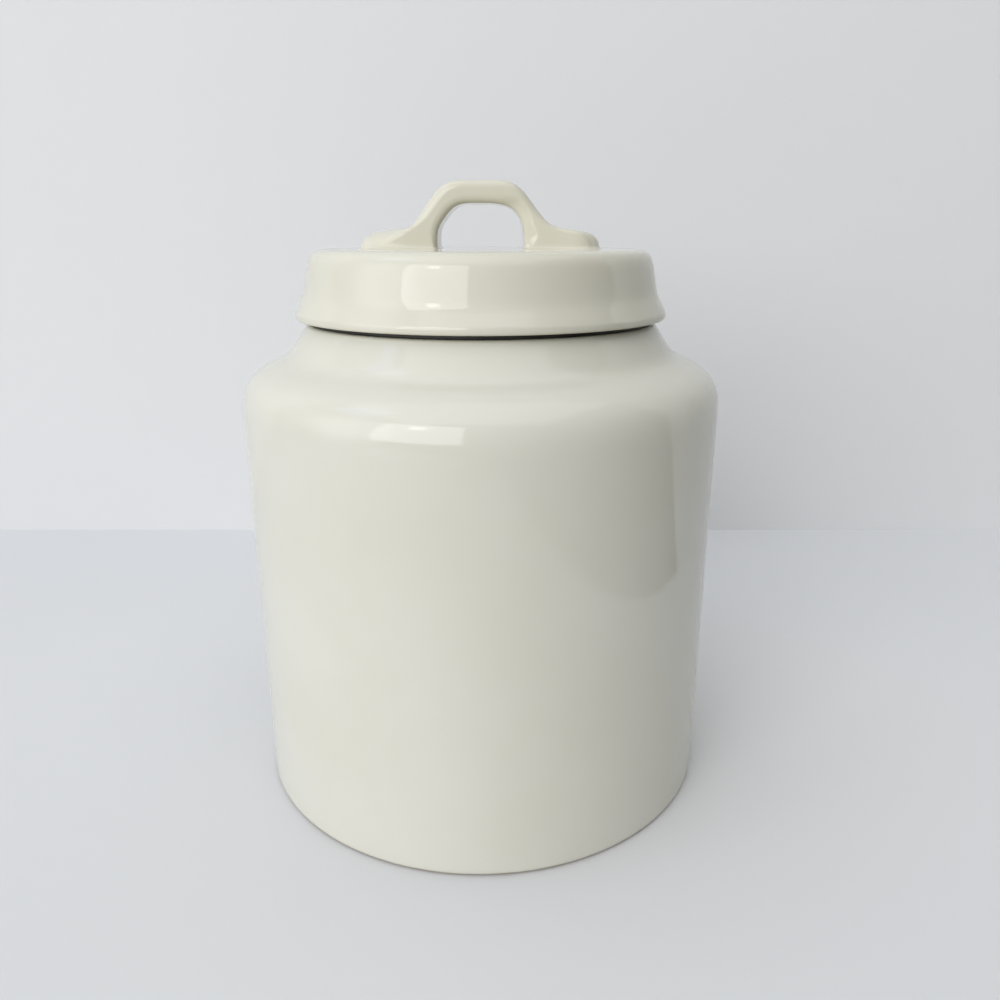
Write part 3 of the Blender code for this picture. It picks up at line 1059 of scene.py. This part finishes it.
def add_lamp(name, width, height, radiance, tint, place, facing):
    """A plain soft rectangular lamp at a place, shining along a direction."""
    lamp = bpy.data.lights.new(name, "AREA")
    lamp.shape = "RECTANGLE"
    lamp.size = width
    lamp.size_y = height
    lamp.energy = radiance * math.pi * width * height
    lamp.color = tint
    obj = linked(name, lamp)
    obj.location = place
    obj.rotation_mode = "QUATERNION"
    obj.rotation_quaternion = facing.to_track_quat("-Z", "Y")


def upright_lamp(name, azimuths, elevations, distance, radiance, tint):
    """A window-like upright lamp that fills these directions, seen from the jar.

    Azimuth 0 is at the camera and 90 at the jar's right, both in degrees.
    """
    middle = math.radians(sum(azimuths) / 2)
    half = math.radians(azimuths[1] - azimuths[0]) / 2
    low, high = (distance * math.tan(math.radians(each)) for each in elevations)
    away = Vector((math.sin(middle), -math.cos(middle), 0))
    place = away * distance + Vector((0, 0, LAMP_LEVEL + (low + high) / 2))
    add_lamp(name, 2 * distance * math.tan(half), high - low, radiance, tint, place, -away)


def toward(azimuth, elevation):
    """Unit vector to a place in the room, from an azimuth and an elevation as the lamps have them."""
    across, up = math.radians(azimuth), math.radians(elevation)
    return Vector((math.sin(across) * math.cos(up), -math.cos(across) * math.cos(up), math.sin(up)))


def nearness(tree, place, azimuth, elevation, wide, tight):
    """1 within a tight angle of a place in the room, 0 beyond a wide one, and a soft fall between them."""
    dot = tree.nodes.new("ShaderNodeVectorMath")
    dot.operation = "DOT_PRODUCT"
    dot.inputs[1].default_value = toward(azimuth, elevation)
    tree.links.new(place, dot.inputs[0])
    return spread(tree, dot.outputs["Value"], math.cos(math.radians(wide)), math.cos(math.radians(tight)))


def room_light(stage):
    """A dim room, darkest at the jar's right. The camera sees the horizon's plain colour instead."""
    world = bpy.data.worlds.new("Room")
    bpy.context.scene.world = world
    world.use_nodes = True
    tree = world.node_tree
    background = tree.nodes["Background"]
    background.inputs["Strength"].default_value = 1.0
    direction = tree.nodes.new("ShaderNodeSeparateXYZ")
    place = tree.nodes.new("ShaderNodeTexCoord").outputs["Generated"]
    tree.links.new(place, direction.inputs["Vector"])
    right = spread(tree, direction.outputs["X"], *DARK_SIDE)
    upward = spread(tree, direction.outputs["Z"], *CEILING_RISE)
    light = mixed(tree, right, tuple(stage.room), tuple(stage.dark_room))
    light = mixed(tree, upward, light, tuple(stage.ceiling))
    glow = nearness(tree, place, *SIDE_GLOW_TOWARD, SIDE_GLOW_WIDE, SIDE_GLOW_TIGHT)
    light = mixed(tree, glow, light, SIDE_GLOW)
    seen = tree.nodes.new("ShaderNodeLightPath").outputs["Is Camera Ray"]
    tree.links.new(mixed(tree, seen, light, tuple(stage.horizon)), background.inputs["Color"])


def add_camera():
    """Camera at the viewing angle that shows the jar from a little above."""
    data = bpy.data.cameras.new("Camera")
    data.sensor_width = CAMERA_SENSOR
    data.lens = CAMERA_LENS
    data.clip_start = NEAREST_SEEN
    data.clip_end = FURTHEST_SEEN
    camera = linked("Camera", data)
    camera.location = CAMERA_PLACE
    camera.rotation_euler = (math.radians(90 - CAMERA_DIP), 0, 0)
    bpy.context.scene.camera = camera


class COOKIEJAR_OT_stage(bpy.types.Operator):
    """Set the table, the wall, the window light and the camera"""

    bl_idname = "cookiejar.stage"
    bl_label = "Set the Stage"

    def execute(self, context):
        stage = context.scene.cookie_jar.stage
        back = stage.wall_distance
        table = plain_material("table paint", stage.table, stage.table_roughness, stage.table_gloss)
        wall = plain_material("wall paint", stage.wall, stage.wall_roughness, one_sided=True)
        left, right = (-WALL_REACH, back), (WALL_REACH, back)
        flat_sheet("table", [(*corner, 0) for corner in TABLE_CORNERS], table)
        upright_sheet("backdrop", left, right, WALL_HEIGHT, wall)
        upright_sheet("side_wall", right, (WALL_REACH, back - SIDE_WALL_DEPTH), WALL_HEIGHT, wall)
        for name, lamp in UPRIGHT_LAMPS.items():
            upright_lamp(name, *lamp)
        add_lamp("ceiling_glow", *CEILING_GLOW, WHITE, CEILING_GLOW_PLACE, Vector((0, 0, -1)))
        room_light(stage)
        add_camera()
        context.scene.view_settings.view_transform = "Standard"
        return {"FINISHED"}


# Sidebar

STEPS = ("cookiejar.pot", "cookiejar.lid", "cookiejar.handle", "cookiejar.seal", "cookiejar.stage")


class COOKIEJAR_PT_sidebar(bpy.types.Panel):
    """Lists the jar's pieces and what can be changed about them"""

    bl_idname = "COOKIEJAR_PT_sidebar"
    bl_label = "Cookie Jar"
    bl_space_type = "VIEW_3D"
    bl_region_type = "UI"
    bl_category = "Cookie Jar"

    def draw(self, context):
        jar = context.scene.cookie_jar
        column = self.layout.column(align=True)
        for step in STEPS:
            column.operator(step)
        for group in (jar.pot, jar.lid, jar.handle, jar.seal, jar.glaze, jar.stage):
            box = self.layout.box()
            box.label(text=group.bl_rna.description)
            for name in group.__annotations__:
                box.prop(group, name)


CLASSES = (
    PotSizes,
    LidSizes,
    HandleSizes,
    SealSizes,
    GlazeLook,
    StageLook,
    CookieJar,
    COOKIEJAR_OT_pot,
    COOKIEJAR_OT_lid,
    COOKIEJAR_OT_handle,
    COOKIEJAR_OT_seal,
    COOKIEJAR_OT_stage,
    COOKIEJAR_PT_sidebar,
)


def register():
    for each in CLASSES:
        bpy.utils.register_class(each)
    bpy.types.Scene.cookie_jar = PointerProperty(
        type=CookieJar, name="Cookie jar", description="Sizes and finish of the jar"
    )


def unregister():
    del bpy.types.Scene.cookie_jar
    for each in reversed(CLASSES):
        bpy.utils.unregister_class(each)


def main():
    register()
    bpy.ops.cookiejar.pot()
    bpy.ops.cookiejar.lid()
    bpy.ops.cookiejar.handle()
    bpy.ops.cookiejar.seal()
    bpy.ops.cookiejar.stage()
    bpy.context.view_layer.update()


if __name__ == "__main__":
    main()
